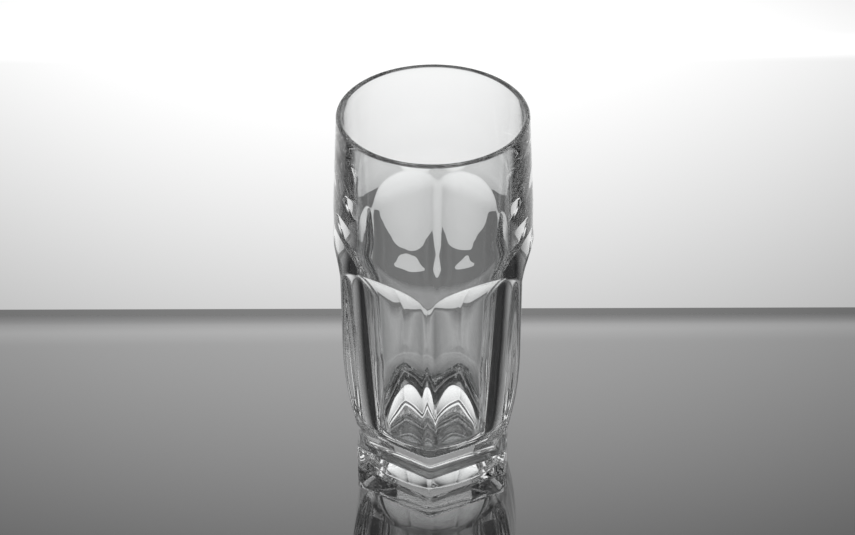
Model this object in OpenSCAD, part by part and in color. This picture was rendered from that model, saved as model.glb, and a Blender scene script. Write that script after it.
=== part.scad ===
// A clear pressed-glass highball tumbler, made in one piece. Its wall is round at the rim.
// Below the shoulder six cut panels turn it into a hexagon, and each panel ends in a
// hollow scoop, so that the scoops meet the round wall in a row of arches. A groove parts
// the body from a hexagonal foot plate, which has a round hollow underneath.
// The origin is the middle of the ring that it stands on, and +Z goes up to the rim.

/* [Rim and round wall] */
// Height from the table to the top of the rim
glass_h = 151; // [138:1:180]
// Outer radius at the belly, where the round wall stands upright
belly_r = 36.05; // [32:0.05:41]
// How far the rim stands in from the belly
rim_inset = 2; // [1.2:0.1:3.4]
// Glass thickness at the rim, which is rounded over
rim_wall = 2.1; // [1.6:0.1:3]
// Height of the belly above the top of the scoops
belly_rise = 9.4; // [4:0.2:11]
// Radius of the bend between the upright belly and the wall that leans in to the rim
lean_bend_r = 120; // [60:10:200]
// Height over which the wall flares from the belly down to the ridges
flare_h = 15; // [12:0.5:20]

/* [Panels] */
// Depth of the panels below the round belly
panel_cut = 3.25; // [2:0.05:3.9]
// Width of the rounded ridge that is left between two panels
ridge_w = 2.4; // [1:0.1:4]
// Distance from the rim down to the top of the scoops
scoop_drop = 51; // [46:0.2:58]
// Radius of the scoop that ends each panel
scoop_r = 18; // [14:0.5:30]
// Height below which the panels curve in to the foot
knee_z = 60; // [50:1:70]
// Radius of that inward curve
knee_curve_r = 190; // [160:5:300]
// Height of the lower edge of the body, where the panels end
edge_z = 21.6; // [18:0.2:26]

/* [Foot] */
// Thickness of the foot plate
foot_h = 10; // [7:0.5:13]
// How far the sides of the foot plate stand in from the panels
foot_inset = 4.2; // [2.8:0.1:5.8]
// Bevel around the top and bottom edges of the foot plate
foot_bevel = 0.5; // [0.3:0.1:1.5]
// Width of the rounded corners of the foot plate
foot_ridge_w = 1.4; // [0.6:0.1:3]
// Depth of the groove above the foot plate, from the sides of the plate
neck_depth = 4.1; // [2.6:0.1:6.6]
// Radius of the bottom of that groove
neck_curve_r = 1.5; // [0.5:0.1:2.2]
// Width of the ring that it stands on, at the middle of a side
ring_w = 5.1; // [3.1:0.1:10.1]
// Depth of the hollow at its middle
hollow_depth = 4.5; // [1:0.5:6]

/* [Inside] */
// Height of the floor of the well above the table
floor_z = 15.5; // [13:0.5:22]
// Glass between the panels and the inside at the rounding of the floor
well_wall = 8.2; // [6.8:0.1:10.8]
// Radius of the rounding between floor and wall
well_fillet_r = 9; // [2:0.5:13]
// Glass between the panels and the inside at the waist
waist_wall = 5.4; // [4.3:0.1:6.6]
// Height of the waist, where the inside begins to turn upright
waist_z = 60; // [45:1:75]
// Glass between the belly's outer radius and the inside at the throat
throat_wall = 6.35; // [4.65:0.05:7.05]
// Height of the throat, where the inside turns up towards the rim
throat_z = 100; // [90:1:120]

/* [Hidden] */

// Cut panels around the body, and how far cuts run past what they cut
panel_count = 6;
overrun = 2;
$fa = 1;
$fs = 0.3;

// Lip: the rim is a half round as thick as the wall
rim_r = belly_r - rim_inset;
lip_r = rim_wall / 2;
lip_centre = [rim_r - lip_r, glass_h - lip_r];

// Distances from the axis to the panels, the foot plate's sides and the groove's bottom
panel_a = belly_r - panel_cut;
foot_a = panel_a - foot_inset;
neck_a = foot_a - neck_depth;

// Inner radii: the ring's hollow, the floor's rounding, the waist and the throat
hollow_r = foot_a - foot_bevel - ring_w;
well_r = panel_a - well_wall;
waist_r = panel_a - waist_wall;
throat_r = belly_r - throat_wall;

// Corners: the blank's radius that leaves a ridge of the stated width between two panels
half_corner = 180 / panel_count;
function ridge_radius(a, w) = norm([a, a * tan(half_corner) - w / (2 * cos(half_corner))]);
ridge_r = ridge_radius(panel_a, ridge_w);
foot_corner_r = ridge_radius(foot_a, foot_ridge_w);

// Below the knee the ridges curve in, in step with the panels, which end at edge_a
edge_a = panel_a - knee_curve_r + sqrt(knee_curve_r ^ 2 - (knee_z - edge_z) ^ 2);
ridge_curve_r = knee_curve_r * panel_a / ridge_r;

// Belly and flare: the flare leaves the upright belly smoothly and reaches the ridges
scoop_top_z = glass_h - scoop_drop;
belly_z = scoop_top_z + belly_rise;
flare_out = ridge_r - belly_r;
flare_r = (flare_h ^ 2 + flare_out ^ 2) / (2 * flare_out);

// Scoop: it leaves the panel smoothly and comes out of the flare at its stated top
scoop_top_r = belly_r + flare_r - sqrt(flare_r ^ 2 - belly_rise ^ 2);
scoop_deep = scoop_top_r - panel_a;
scoop_z = scoop_top_z - sqrt(2 * scoop_r * scoop_deep - scoop_deep ^ 2);

// Underside: the hollow is the cap of a ball
hollow_ball_r = (hollow_r ^ 2 + hollow_depth ^ 2) / (2 * hollow_depth);

// The line that touches two circles, given by the direction from their centres to it
function touch_angle(c1, r1, c2, r2) =
    atan2(c2.y - c1.y, c2.x - c1.x) - acos((r1 - r2) / norm(c2 - c1));
function on_circle(c, r, angle) = c + r * [cos(angle), sin(angle)];

// Groove: a round bottom beside the foot plate, then straight out to the panel's lower edge
neck_centre = [neck_a + neck_curve_r, foot_h + neck_curve_r];
neck_angle = touch_angle(neck_centre, -neck_curve_r, [edge_a, edge_z], 0);
neck_to = on_circle(neck_centre, -neck_curve_r, neck_angle);

// Outside: from the bend at the belly straight up to the lip
bend_centre = [belly_r - lean_bend_r, belly_z];
lean_angle = touch_angle(bend_centre, lean_bend_r, lip_centre, lip_r);
lean_from = on_circle(bend_centre, lean_bend_r, lean_angle);
lean_to = on_circle(lip_centre, lip_r, lean_angle);

// Inside: from the rounded floor to the waist and the throat, then up to the lip
fillet_centre = [well_r - well_fillet_r, floor_z + well_fillet_r];
waist = [waist_r, waist_z];
well_angle = touch_angle(fillet_centre, well_fillet_r, waist, 0);
well_from = on_circle(fillet_centre, well_fillet_r, well_angle);
throat = [throat_r, throat_z];
mouth_angle = touch_angle(throat, 0, lip_centre, -lip_r);
mouth_to = on_circle(lip_centre, -lip_r, mouth_angle);

// Half a section of the side that curves in below the knee, down to the height low_z
module curved_side(side, curve_r, low_z) {
    intersection() {
        translate([side - curve_r, knee_z])
            circle(curve_r);
        translate([0, low_z])
            square([side, knee_z - low_z]);
    }
}

// The inside, from the floor of the well out through the mouth
module well_section() {
    translate(fillet_centre)
        circle(well_fillet_r);
    polygon([
        [0, floor_z],
        [fillet_centre.x, floor_z],
        fillet_centre,
        well_from,
        waist,
        throat,
        mouth_to,
        lip_centre,
        [lip_centre.x, glass_h + overrun],
        [0, glass_h + overrun]
    ]);
}

// The round blank before the panels are cut: outside less inside, with its rounded lip
module blank_section() {
    difference() {
        union() {
            square([foot_corner_r, neck_centre.y]);
            curved_side(ridge_r, ridge_curve_r, foot_h);
            difference() {
                translate([0, knee_z])
                    square([ridge_r, belly_z - knee_z]);
                translate([belly_r + flare_r, belly_z])
                    circle(flare_r);
            }
            intersection() {
                translate(bend_centre)
                    circle(lean_bend_r);
                translate([0, belly_z])
                    square([belly_r, lean_from.y - belly_z]);
            }
            polygon([
                [0, belly_z],
                [lip_centre.x, belly_z],
                lean_from,
                lean_to,
                lip_centre,
                [0, lip_centre.y]
            ]);
        }
        well_section();
    }
    translate(lip_centre)
        circle(lip_r);
}

// What is cut away in front of one panel, from under the foot plate up to its scoop
module panel_cut_section() {
    difference() {
        translate([0, -overrun])
            square([panel_a + scoop_r, scoop_z + overrun]);
        polygon([
            [0, -overrun],
            [foot_a - foot_bevel - overrun, -overrun],
            [foot_a - foot_bevel, 0],
            [0, 0]
        ]);
        polygon([
            [0, 0],
            [foot_a - foot_bevel, 0],
            [foot_a, foot_bevel],
            [foot_a, foot_h - foot_bevel],
            [foot_a - foot_bevel, foot_h],
            [neck_centre.x, foot_h],
            neck_to,
            [edge_a, edge_z],
            [0, edge_z]
        ]);
        curved_side(panel_a, knee_curve_r, edge_z);
        translate([0, knee_z])
            square([panel_a, scoop_z - knee_z]);
    }
    translate(neck_centre)
        circle(neck_curve_r);
    translate([panel_a + scoop_r, scoop_z])
        circle(scoop_r);
}

module tumbler() {
    color([0.84, 0.88, 0.9, 0.6])
        difference() {
            rotate_extrude()
                blank_section();
            // One corner of the hexagon faces -Y
            for (k = [0 : panel_count - 1])
                rotate([90, 0, k * 2 * half_corner - 90 + half_corner])
                    linear_extrude(2 * ridge_r, center = true)
                        panel_cut_section();
            translate([0, 0, hollow_depth - hollow_ball_r])
                sphere(hollow_ball_r);
        }
}

tumbler();
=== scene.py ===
# A clear pressed-glass highball tumbler on a dark glossy table, seen from above the rim.
import math
import bpy
import numpy as np
from mathutils import Matrix, Vector


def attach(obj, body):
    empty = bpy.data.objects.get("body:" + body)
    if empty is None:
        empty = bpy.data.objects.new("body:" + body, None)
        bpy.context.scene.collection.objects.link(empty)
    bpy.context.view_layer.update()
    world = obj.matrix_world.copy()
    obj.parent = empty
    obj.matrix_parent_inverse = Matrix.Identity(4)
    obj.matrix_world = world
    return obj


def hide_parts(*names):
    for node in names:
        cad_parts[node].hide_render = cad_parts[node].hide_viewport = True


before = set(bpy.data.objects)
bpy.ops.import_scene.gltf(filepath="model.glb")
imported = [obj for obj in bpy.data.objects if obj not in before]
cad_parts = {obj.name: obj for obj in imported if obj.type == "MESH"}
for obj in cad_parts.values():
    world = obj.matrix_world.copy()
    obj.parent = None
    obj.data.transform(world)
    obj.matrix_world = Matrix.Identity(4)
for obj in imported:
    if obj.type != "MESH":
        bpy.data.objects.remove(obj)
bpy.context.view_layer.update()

# The glass is worked out in millimetres, the stage in metres
MM = 0.001

# Rim and round wall, as in the CAD model
GLASS_H = 151.0
RIM_R = 34.05
RIM_WALL = 2.1
BELLY_R = 36.05
BELLY_Z = 109.4
LEAN_BEND_R = 120.0
FLARE_H = 15.0
RIDGE_R = 37.18

# Panels: distance from the axis, scoop at the top, curve below the knee
SIDES = 6
PANEL_A = 32.8
SCOOP_TOP = 100.0
SCOOP_R = 18.0
KNEE_Z = 60.0
KNEE_R = 190.0
EDGE_Z = 21.6

# Foot plate, the groove above it and the hollow under it
FOOT_H = 10.0
FOOT_A = 28.6
FOOT_BEVEL = 0.5
NECK_A = 24.5
NECK_R = 1.5
HOLLOW_R = 23.0
HOLLOW_DEPTH = 4.5

# Inside
FLOOR_Z = 15.5
WELL_R = 24.6
WELL_FILLET = 9.0
WAIST_R = 27.4
WAIST_Z = 60.0
THROAT_R = 29.7
THROAT_Z = 100.0

# Roundings that the solid leaves to this model: the hexagon's corners, the edges of the body and
# of the foot plate, the arches' crease, the bends of the inside and the edge of the hollow
BODY_ROUND = 4.5
FOOT_ROUND = 2.2
EDGE_ROUND = 2.0
PLATE_ROUND = 0.3
CREASE = 0.4
INNER_BEND_R = 150.0
HOLLOW_EDGE = 0.4
HOLLOW_EDGE_Z = 0.03

# The power with which the scoop leaves the panel; it bends most at its top
SCOOP_BEND = 2.8

# Heights between which the foot plate's corners turn into the body's
ROUND_FROM = 14.0
ROUND_OVER = 7.0

# Steps of the mesh: columns on each side, how they crowd at the corners, and spacing of the rings
PER_SIDE = 72
CROWDING = 1.7
CENTRE_R = 0.4
HOLLOW_RINGS = 26
FLOOR_RINGS = 16
CORNER_STEPS = 7
GROOVE_STEPS = 9
BEND_STEPS = 9
ARC_STEPS = 17
FOOT_STEP = 0.9
BODY_STEP = 1.0
SCOOP_STEP = 0.25
INNER_STEP = 2.5
FINE_FROM = 86
FINE_TO = 104
ABOVE_EDGE = 4

# Clear glass with the faint waves that a mould leaves
GLASS_TINT = (0.958, 0.964, 0.964, 1)
GLASS_IOR = 1.52
WAVE_SCALE = 30.0
WAVE_STRENGTH = 0.3
WAVE_HEIGHT = 0.0008

# The camera stands a little to the side of the front corner, and the stage turns with it
TURN_ANGLE = math.radians(3.3)
TURN = Matrix.Rotation(TURN_ANGLE, 4, "Z")

# Table: a slab whose far edge is duller than the rest
TABLE_COLOUR = (0.05, 0.05, 0.052, 1)
TABLE_IOR = 3.3
TABLE_TOP = -0.0001
TABLE_UNDER = -0.02
TABLE_FRONT = -1.2
TABLE_BACK = 0.0825
TABLE_SIDE = 0.8
EDGE_TILT = 0.0044
DULL_ZONE = 0.007
SHINE = 0.5
DULL_SHINE = 0.25
GRAIN_SCALE = 9.0
GRAIN_DETAIL = 4.0
LEAST_ROUGH = 0.015
MOST_ROUGH = 0.03

# Lit screen behind the table: its place, and its brightness by height over the table
SCREEN_Y = 0.172
SCREEN_SIDE = 1.2
SCREEN_BOTTOM = -0.3
SCREEN_TOP = 0.5
SCREEN_UP = [(-0.0646, 0.675), (0.0708, 1.12), (0.0771, 1.5), (0.085, 1.24), (0.27, 0.3), (0.35, 0.1)]
SCREEN_TILT = 0.0031
UNDER_SCREEN = 0.21
MOST_LIT = 2.0

# The screen fades to both sides of its brightest line, down to the least share that it keeps
SCREEN_X = -0.0227
SCREEN_WIDE = 0.404
SIDE_LEAST = 0.3

# Room: its brightness by the upward part of the direction. It is pale at low heights and overhead,
# and up to twice as much on the camera's side.
ROOM_DIM = 0.07
ROOM = [
    (-1.0, ROOM_DIM), (-0.36, ROOM_DIM), (-0.26, 0.32), (0.3, 0.34),
    (0.42, ROOM_DIM), (0.8, ROOM_DIM), (0.9, 0.4),
]

# One soft lamp over the table, behind the glass
LAMP_SIZE = (0.8, 0.6)
LAMP_POWER = 0.6
LAMP_AT = (0, 0.5, 1.0)

# Camera of the photograph: 36 degrees down, from 0.84 m
PHOTO_WIDE = 855
FOCAL_PIXELS = 2150
SENSOR_WIDE = 36
CAMERA_AT = (-0.0022, -0.640, 0.5489)
CAMERA_DOWN = math.radians(35.98)
CAMERA_ROLL = math.radians(-0.3)
CLIP_NEAR = 0.01

# Bounces that light needs to find its way through the glass
MOST_BOUNCES = 32
MIRROR_BOUNCES = 16

# Worked out: the lip's centre, the flare's radius, and where the scoop leaves the panel
LIP_R = RIM_WALL / 2
LIP = np.array([RIM_R - LIP_R, GLASS_H - LIP_R])
FLARE_OUT = RIDGE_R - BELLY_R
FLARE_R = (FLARE_H ** 2 + FLARE_OUT ** 2) / (2 * FLARE_OUT)
FLARE_REACH = FLARE_R / 2
SCOOP_TOP_R = BELLY_R + FLARE_R - math.sqrt(FLARE_R ** 2 - (BELLY_Z - SCOOP_TOP) ** 2)
SCOOP_DEEP = SCOOP_TOP_R - PANEL_A
SCOOP_Z = SCOOP_TOP - math.sqrt(2 * SCOOP_R * SCOOP_DEEP - SCOOP_DEEP ** 2)
HALF_SIDE = math.pi / SIDES


def touch(c1, r1, c2, r2):
    """Direction from two circles' centres to the line that touches both."""
    d = c2 - c1
    return math.atan2(d[1], d[0]) - math.acos((r1 - r2) / np.hypot(*d))


def on_circle(centre, radius, angle):
    return centre + radius * np.array([math.cos(angle), math.sin(angle)])


def rounded(points, radii, steps=CORNER_STEPS):
    """A polyline with each corner replaced by an arc of its own radius."""
    out = [np.array(points[0], float)]
    for i in range(1, len(points) - 1):
        corner, back, ahead = (np.array(points[k], float) for k in (i, i - 1, i + 1))
        to_back = (back - corner) / np.hypot(*(back - corner))
        to_ahead = (ahead - corner) / np.hypot(*(ahead - corner))
        half = math.acos(max(-1, min(1, to_back @ to_ahead))) / 2
        radius = radii[i]
        cut = radius / math.tan(half)
        middle = to_back + to_ahead
        centre = corner + middle / np.hypot(*middle) * radius / math.sin(half)
        start = corner + to_back * cut - centre
        end = corner + to_ahead * cut - centre
        from_angle = math.atan2(start[1], start[0])
        turn = (math.atan2(end[1], end[0]) - from_angle + math.pi) % (2 * math.pi) - math.pi
        out += [on_circle(centre, radius, from_angle + turn * t) for t in np.linspace(0, 1, steps)]
    return out + [np.array(points[-1], float)]


def subdivide(points, most):
    """Adds points so that no step is longer than most."""
    out = [points[0]]
    for a, b in zip(points, points[1:]):
        n = max(1, math.ceil(np.hypot(*(b - a)) / most))
        out += [a + (b - a) * k / n for k in range(1, n + 1)]
    return out


def panel_distance(z):
    """From the axis to a panel: curved below the knee, upright, then the scoop."""
    if z < KNEE_Z:
        return PANEL_A - KNEE_R + math.sqrt(KNEE_R ** 2 - (KNEE_Z - z) ** 2)
    if z > SCOOP_Z:
        return PANEL_A + SCOOP_DEEP * ((z - SCOOP_Z) / (SCOOP_TOP - SCOOP_Z)) ** SCOOP_BEND
    return PANEL_A


# The bend at the belly, and the straight lean from there to the lip
bend = np.array([BELLY_R - LEAN_BEND_R, BELLY_Z])
lean = touch(bend, LEAN_BEND_R, LIP, LIP_R)
lean_from = on_circle(bend, LEAN_BEND_R, lean)
lean_to = on_circle(LIP, LIP_R, lean)


def round_wall(z):
    """Outer radius of the round wall: flare, bend at the belly, then the straight lean."""
    if z < BELLY_Z:
        return BELLY_R + FLARE_R - math.sqrt(FLARE_R ** 2 - min(BELLY_Z - z, FLARE_REACH) ** 2)
    if z < lean_from[1]:
        return bend[0] + math.sqrt(LEAN_BEND_R ** 2 - (z - BELLY_Z) ** 2)
    t = (z - lean_from[1]) / (lean_to[1] - lean_from[1])
    return lean_from[0] + (lean_to[0] - lean_from[0]) * t


# Columns of the mesh, closer together at the six corners; a corner faces -Y
across = np.linspace(-1, 1, PER_SIDE, endpoint=False)
side = np.sign(across) * np.abs(across) ** CROWDING * HALF_SIDE
theta = np.concatenate([side + k * 2 * HALF_SIDE for k in range(SIDES)])
from_corner = np.abs(np.tile(side, SIDES))


def hexagon(a, rounding):
    """Outline radius of a hexagon with sides a from the axis and rounded corners."""
    corner = (a - rounding) / math.cos(HALF_SIDE)
    swing = HALF_SIDE - math.atan2(corner / 2, a)
    off_corner = corner * np.sin(from_corner)
    arc = corner * np.cos(from_corner) + np.sqrt(np.maximum(rounding ** 2 - off_corner ** 2, 0))
    return np.where(from_corner > swing, a / np.cos(HALF_SIDE - from_corner), arc)


def smaller(a, b, soft):
    """The smaller of two outlines, with the crease between them softened."""
    h = np.clip(0.5 + 0.5 * (b - a) / soft, 0, 1)
    return b * (1 - h) + a * h - soft * h * (1 - h)


def ring(radius, z):
    """One ring of mesh points, at a radius that may differ from column to column."""
    r = np.broadcast_to(radius, theta.shape)
    return np.stack([r * np.sin(theta), -r * np.cos(theta), np.full_like(theta, z)], 1)


def hollow_rings():
    """The hollow underneath, from its middle out to its edge: the cap of a ball."""
    ball = (HOLLOW_R ** 2 + HOLLOW_DEPTH ** 2) / (2 * HOLLOW_DEPTH)
    rings = [
        ring(r, HOLLOW_DEPTH - ball + math.sqrt(ball ** 2 - r ** 2))
        for r in np.linspace(CENTRE_R, HOLLOW_R - PLATE_ROUND, HOLLOW_RINGS)]
    return rings + [ring(HOLLOW_R, HOLLOW_EDGE_Z), ring(HOLLOW_R + HOLLOW_EDGE, 0.0)]


def foot_rings():
    """The foot plate, the groove and the lower edge of the body."""
    edge = np.array([panel_distance(EDGE_Z), EDGE_Z])
    above = np.array([panel_distance(EDGE_Z + ABOVE_EDGE), EDGE_Z + ABOVE_EDGE])
    neck = np.array([NECK_A + NECK_R, FOOT_H + NECK_R])
    neck_angles = np.linspace(math.pi / 2, touch(neck, -NECK_R, edge, 0), GROOVE_STEPS)
    groove = [on_circle(neck, -NECK_R, a) for a in neck_angles]
    plate = [
        [HOLLOW_R + 3 * HOLLOW_EDGE, 0], [FOOT_A - FOOT_BEVEL, 0], [FOOT_A, FOOT_BEVEL],
        [FOOT_A, FOOT_H - FOOT_BEVEL], [FOOT_A - FOOT_BEVEL, FOOT_H], groove[0]]
    outline = rounded(plate, [0] + [PLATE_ROUND] * 4 + [0]) + groove[1:]
    outline += rounded([groove[-1], edge, above], [0, EDGE_ROUND, 0])[1:]
    rings = []
    for d, z in subdivide(outline, FOOT_STEP)[:-1]:
        blend = min(1, max(0, (z - ROUND_FROM) / ROUND_OVER))
        rings.append(ring(hexagon(d, FOOT_ROUND + (BODY_ROUND - FOOT_ROUND) * blend), z))
    return rings


def body_rings():
    """The body, the scoops and the round wall, up to the lip."""
    heights = np.concatenate([
        np.arange(EDGE_Z + ABOVE_EDGE, FINE_FROM, BODY_STEP), np.arange(FINE_FROM, FINE_TO, SCOOP_STEP),
        np.arange(FINE_TO, lean_to[1], BODY_STEP), [lean_to[1]]])
    return [
        ring(smaller(hexagon(panel_distance(z), BODY_ROUND), round_wall(z), CREASE), z)
        for z in heights]


def inside_rings():
    """The lip, the inside wall and the rounded floor, in to its middle."""
    waist = np.array([WAIST_R, WAIST_Z])
    throat = np.array([THROAT_R, THROAT_Z])
    fillet = np.array([WELL_R - WELL_FILLET, FLOOR_Z + WELL_FILLET])
    mouth = touch(throat, 0, LIP, -LIP_R)
    well = touch(fillet, WELL_FILLET, waist, 0)
    wall = rounded(
        [on_circle(LIP, -LIP_R, mouth), throat, waist, on_circle(fillet, WELL_FILLET, well)],
        [0, INNER_BEND_R, INNER_BEND_R, 0], BEND_STEPS)
    points = [on_circle(LIP, LIP_R, a) for a in np.linspace(lean, math.pi + mouth, ARC_STEPS)[1:]]
    points += subdivide(wall, INNER_STEP)[1:]
    points += [
        on_circle(fillet, WELL_FILLET, a) for a in np.linspace(well, -math.pi / 2, ARC_STEPS)[1:]]
    points += [(r, FLOOR_Z) for r in np.linspace(fillet[0], CENTRE_R, FLOOR_RINGS)[1:]]
    return [ring(r, z) for r, z in points]


def add_object(name, points, faces):
    mesh = bpy.data.meshes.new(name)
    mesh.from_pydata(points, [], faces)
    made = bpy.data.objects.new(name, mesh)
    bpy.context.scene.collection.objects.link(made)
    return made


def glass_object():
    """One closed mesh of rings, from the middle of the hollow over the lip to the well's floor."""
    rings = hollow_rings() + foot_rings() + body_rings() + inside_rings()
    count = len(rings)
    columns = len(theta)
    points = np.vstack(rings + [[[0, 0, HOLLOW_DEPTH], [0, 0, FLOOR_Z]]]) * MM
    here = np.arange(columns)
    after_here = (here + 1) % columns
    faces = []
    for i in range(count - 1):
        low = i * columns
        high = low + columns
        quads = np.stack([low + here, low + after_here, high + after_here, high + here], 1)
        faces += [tuple(q) for q in quads.tolist()]
    last = (count - 1) * columns
    under = count * columns
    faces += [(under, int(b), int(a)) for a, b in zip(here, after_here)]
    faces += [(under + 1, int(last + a), int(last + b)) for a, b in zip(here, after_here)]
    made = add_object("tumbler_glass", points.tolist(), faces)
    made.data.polygons.foreach_set("use_smooth", [True] * len(made.data.polygons))
    made.data.update()
    return made


def principled(name):
    """A new material with its node tree and its Principled shader."""
    mat = bpy.data.materials.new(name)
    mat.use_nodes = True
    return mat, mat.node_tree, mat.node_tree.nodes["Principled BSDF"]


def node(tree, kind, *values, operation=None):
    """A node with its inputs set or linked in order; returns its first output."""
    made = tree.nodes.new(kind)
    if operation:
        made.operation = operation
    for socket, value in zip(made.inputs, values):
        if isinstance(value, bpy.types.NodeSocket):
            tree.links.new(value, socket)
        else:
            socket.default_value = value
    return made.outputs[0]


def maths(tree, operation, *values):
    return node(tree, "ShaderNodeMath", *values, operation=operation)


def object_place(tree):
    return tree.nodes.new("ShaderNodeTexCoord").outputs["Object"]


def noise(tree, scale, detail=2.0):
    """Noise over the object's own coordinates; returns its grey output."""
    texture = tree.nodes.new("ShaderNodeTexNoise")
    texture.inputs["Scale"].default_value = scale
    texture.inputs["Detail"].default_value = detail
    tree.links.new(object_place(tree), texture.inputs["Vector"])
    return texture.outputs["Fac"]


def map_range(tree, value, to_min, to_max, from_min=0.0, from_max=1.0):
    ranged = tree.nodes.new("ShaderNodeMapRange")
    ranged.inputs["From Min"].default_value = from_min
    ranged.inputs["From Max"].default_value = from_max
    ranged.inputs["To Min"].default_value = to_min
    ranged.inputs["To Max"].default_value = to_max
    tree.links.new(value, ranged.inputs["Value"])
    return ranged.outputs["Result"]


def brightness_ramp(tree, value, stops, most):
    """Greys by place from 0 to 1, as shares of the most that they reach; returns the colour."""
    made = tree.nodes.new("ShaderNodeValToRGB")
    elements = made.color_ramp.elements
    while len(elements) > 1:
        elements.remove(elements[-1])
    for i, (at, brightness) in enumerate(stops):
        element = elements[0] if i == 0 else elements.new(at)
        element.position = at
        share = brightness / most
        element.color = (share, share, share, 1)
    tree.links.new(value, made.inputs["Fac"])
    return made.outputs["Color"]


def clear_glass():
    mat, tree, shader = principled("clear_glass")
    shader.inputs["Base Color"].default_value = GLASS_TINT
    shader.inputs["Roughness"].default_value = 0.0
    shader.inputs["IOR"].default_value = GLASS_IOR
    shader.inputs["Transmission Weight"].default_value = 1.0
    bump = tree.nodes.new("ShaderNodeBump")
    bump.inputs["Strength"].default_value = WAVE_STRENGTH
    bump.inputs["Distance"].default_value = WAVE_HEIGHT
    tree.links.new(noise(tree, WAVE_SCALE), bump.inputs["Height"])
    tree.links.new(bump.outputs["Normal"], shader.inputs["Normal"])
    return mat


def table_lacquer():
    """Glossy dark lacquer, slightly uneven, and duller along the table's far edge."""
    mat, tree, shader = principled("table_lacquer")
    shader.inputs["Base Color"].default_value = TABLE_COLOUR
    shader.inputs["IOR"].default_value = TABLE_IOR
    grain = noise(tree, GRAIN_SCALE, GRAIN_DETAIL)
    tree.links.new(map_range(tree, grain, LEAST_ROUGH, MOST_ROUGH), shader.inputs["Roughness"])
    to_back = tree.nodes.new("ShaderNodeVectorMath")
    to_back.operation = "DOT_PRODUCT"
    to_back.inputs[1].default_value = TURN.to_3x3() @ Vector((EDGE_TILT, 1, 0))
    tree.links.new(object_place(tree), to_back.inputs[0])
    shine = map_range(
        tree, to_back.outputs["Value"], SHINE, DULL_SHINE, TABLE_BACK - DULL_ZONE, TABLE_BACK)
    tree.links.new(shine, shader.inputs["Specular IOR Level"])
    return mat


def lit_screen():
    """Light by height and by distance from the brightest line; clear when seen from behind."""
    mat = bpy.data.materials.new("lit_screen")
    mat.use_nodes = True
    tree = mat.node_tree
    tree.nodes.clear()
    square = node(
        tree, "ShaderNodeVectorRotate", object_place(tree), (0, 0, 0), (0, 0, 1), -TURN_ANGLE)
    split = tree.nodes.new("ShaderNodeSeparateXYZ")
    tree.links.new(square, split.inputs["Vector"])
    level = maths(
        tree, "ADD", split.outputs["Z"], maths(tree, "MULTIPLY", split.outputs["X"], SCREEN_TILT))
    low = SCREEN_UP[0][0]
    high = SCREEN_UP[-1][0]
    up = maths(tree, "DIVIDE", maths(tree, "SUBTRACT", level, low), high - low)
    stops = [((height - low) / (high - low), value) for height, value in SCREEN_UP]
    lit = maths(tree, "MULTIPLY", brightness_ramp(tree, up, stops, MOST_LIT), MOST_LIT)
    off = maths(tree, "DIVIDE", maths(tree, "SUBTRACT", split.outputs["X"], SCREEN_X), SCREEN_WIDE)
    falling = maths(tree, "MULTIPLY", maths(tree, "MULTIPLY", off, off), -1.0)
    fade = maths(tree, "MAXIMUM", maths(tree, "EXPONENT", falling), SIDE_LEAST)
    on_screen = maths(tree, "GREATER_THAN", level, low)
    more = maths(tree, "SUBTRACT", lit, UNDER_SCREEN)
    shine = maths(tree, "MULTIPLY_ADD", more, on_screen, UNDER_SCREEN)
    glow = tree.nodes.new("ShaderNodeEmission")
    tree.links.new(maths(tree, "MULTIPLY", shine, fade), glow.inputs["Strength"])
    clear = tree.nodes.new("ShaderNodeBsdfTransparent")
    behind = tree.nodes.new("ShaderNodeNewGeometry").outputs["Backfacing"]
    shown = node(tree, "ShaderNodeMixShader", behind, glow.outputs[0], clear.outputs[0])
    tree.links.new(shown, tree.nodes.new("ShaderNodeOutputMaterial").inputs["Surface"])
    return mat


def stage_object(name, corners, faces, mat):
    """A piece of the stage, turned with the camera."""
    made = add_object(name, [TURN @ Vector(c) for c in corners], faces)
    made.data.materials.append(mat)
    return made


def table_object():
    corners = [
        (x, y - EDGE_TILT * x, z) for z in (TABLE_UNDER, TABLE_TOP)
        for y in (TABLE_FRONT, TABLE_BACK) for x in (-TABLE_SIDE, TABLE_SIDE)]
    faces = [(0, 2, 3, 1), (4, 5, 7, 6), (0, 1, 5, 4), (2, 6, 7, 3), (0, 4, 6, 2), (1, 3, 7, 5)]
    return stage_object("table", corners, faces, table_lacquer())


def screen_object():
    """The screen reaches down below the table; only what lies over its lower edge is bright."""
    corners = [
        (-SCREEN_SIDE, SCREEN_Y, SCREEN_BOTTOM), (SCREEN_SIDE, SCREEN_Y, SCREEN_BOTTOM),
        (SCREEN_SIDE, SCREEN_Y, SCREEN_TOP), (-SCREEN_SIDE, SCREEN_Y, SCREEN_TOP)]
    return stage_object("screen", corners, [(0, 1, 2, 3)], lit_screen())


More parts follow.
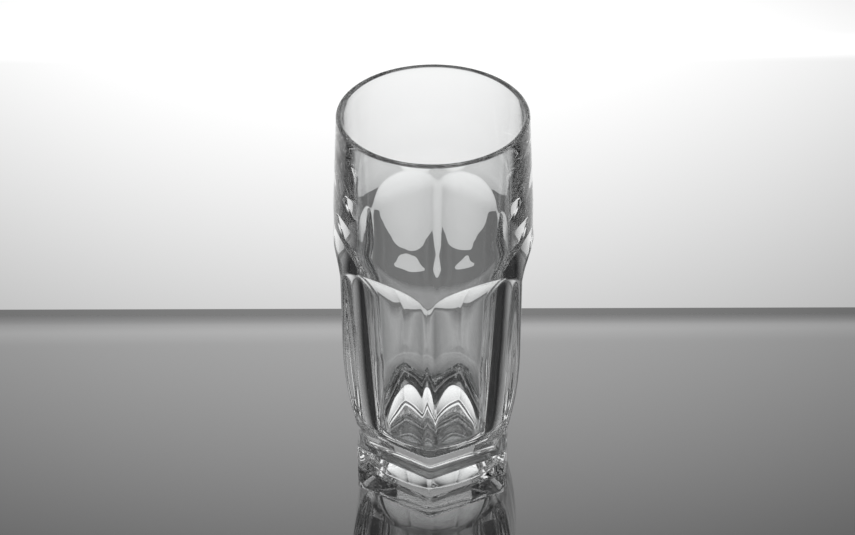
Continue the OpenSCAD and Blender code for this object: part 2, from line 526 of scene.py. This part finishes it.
def light_room():
    world = bpy.data.worlds.new("studio")
    bpy.context.scene.world = world
    world.use_nodes = True
    tree = world.node_tree
    part = tree.nodes.new("ShaderNodeSeparateXYZ")
    tree.links.new(tree.nodes.new("ShaderNodeTexCoord").outputs["Generated"], part.inputs["Vector"])
    rise = maths(tree, "MULTIPLY_ADD", part.outputs["Z"], 0.5, 0.5)
    stops = [(0.5 + 0.5 * height, value) for height, value in ROOM]
    room = brightness_ramp(tree, rise, stops, 1.0)
    to_camera = maths(tree, "MAXIMUM", maths(tree, "MULTIPLY", part.outputs["Y"], -1.0), 0.0)
    times = maths(tree, "ADD", to_camera, 1.0)
    pale = maths(tree, "MULTIPLY", maths(tree, "SUBTRACT", room, ROOM_DIM), times)
    background = tree.nodes["Background"]
    background.inputs["Color"].default_value = (1, 1, 1, 1)
    tree.links.new(maths(tree, "ADD", pale, ROOM_DIM), background.inputs["Strength"])


def add_lamp():
    lamp = bpy.data.lights.new("soft_box", "AREA")
    lamp.shape = "RECTANGLE"
    lamp.size, lamp.size_y = LAMP_SIZE
    lamp.energy = LAMP_POWER
    made = bpy.data.objects.new("soft_box", lamp)
    made.matrix_world = TURN @ Matrix.Translation(LAMP_AT)
    bpy.context.scene.collection.objects.link(made)


def add_camera():
    camera = bpy.data.cameras.new("camera")
    camera.sensor_width = SENSOR_WIDE
    camera.lens = FOCAL_PIXELS / PHOTO_WIDE * SENSOR_WIDE
    camera.clip_start = CLIP_NEAR
    made = bpy.data.objects.new("camera", camera)
    bpy.context.scene.collection.objects.link(made)
    aim = Matrix.Rotation(math.pi / 2 - CAMERA_DOWN, 4, "X") @ Matrix.Rotation(CAMERA_ROLL, 4, "Z")
    made.matrix_world = TURN @ Matrix.Translation(CAMERA_AT) @ aim
    bpy.context.scene.camera = made


glass = glass_object()
glass.data.materials.append(clear_glass())
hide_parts("tumbler")
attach(glass, "root")

table_object()
screen_object()
light_room()
add_lamp()
add_camera()

scene = bpy.context.scene
scene.view_settings.view_transform = "Standard"
scene.cycles.max_bounces = MOST_BOUNCES
scene.cycles.transmission_bounces = MOST_BOUNCES
scene.cycles.glossy_bounces = MIRROR_BOUNCES
scene.cycles.use_denoising = True
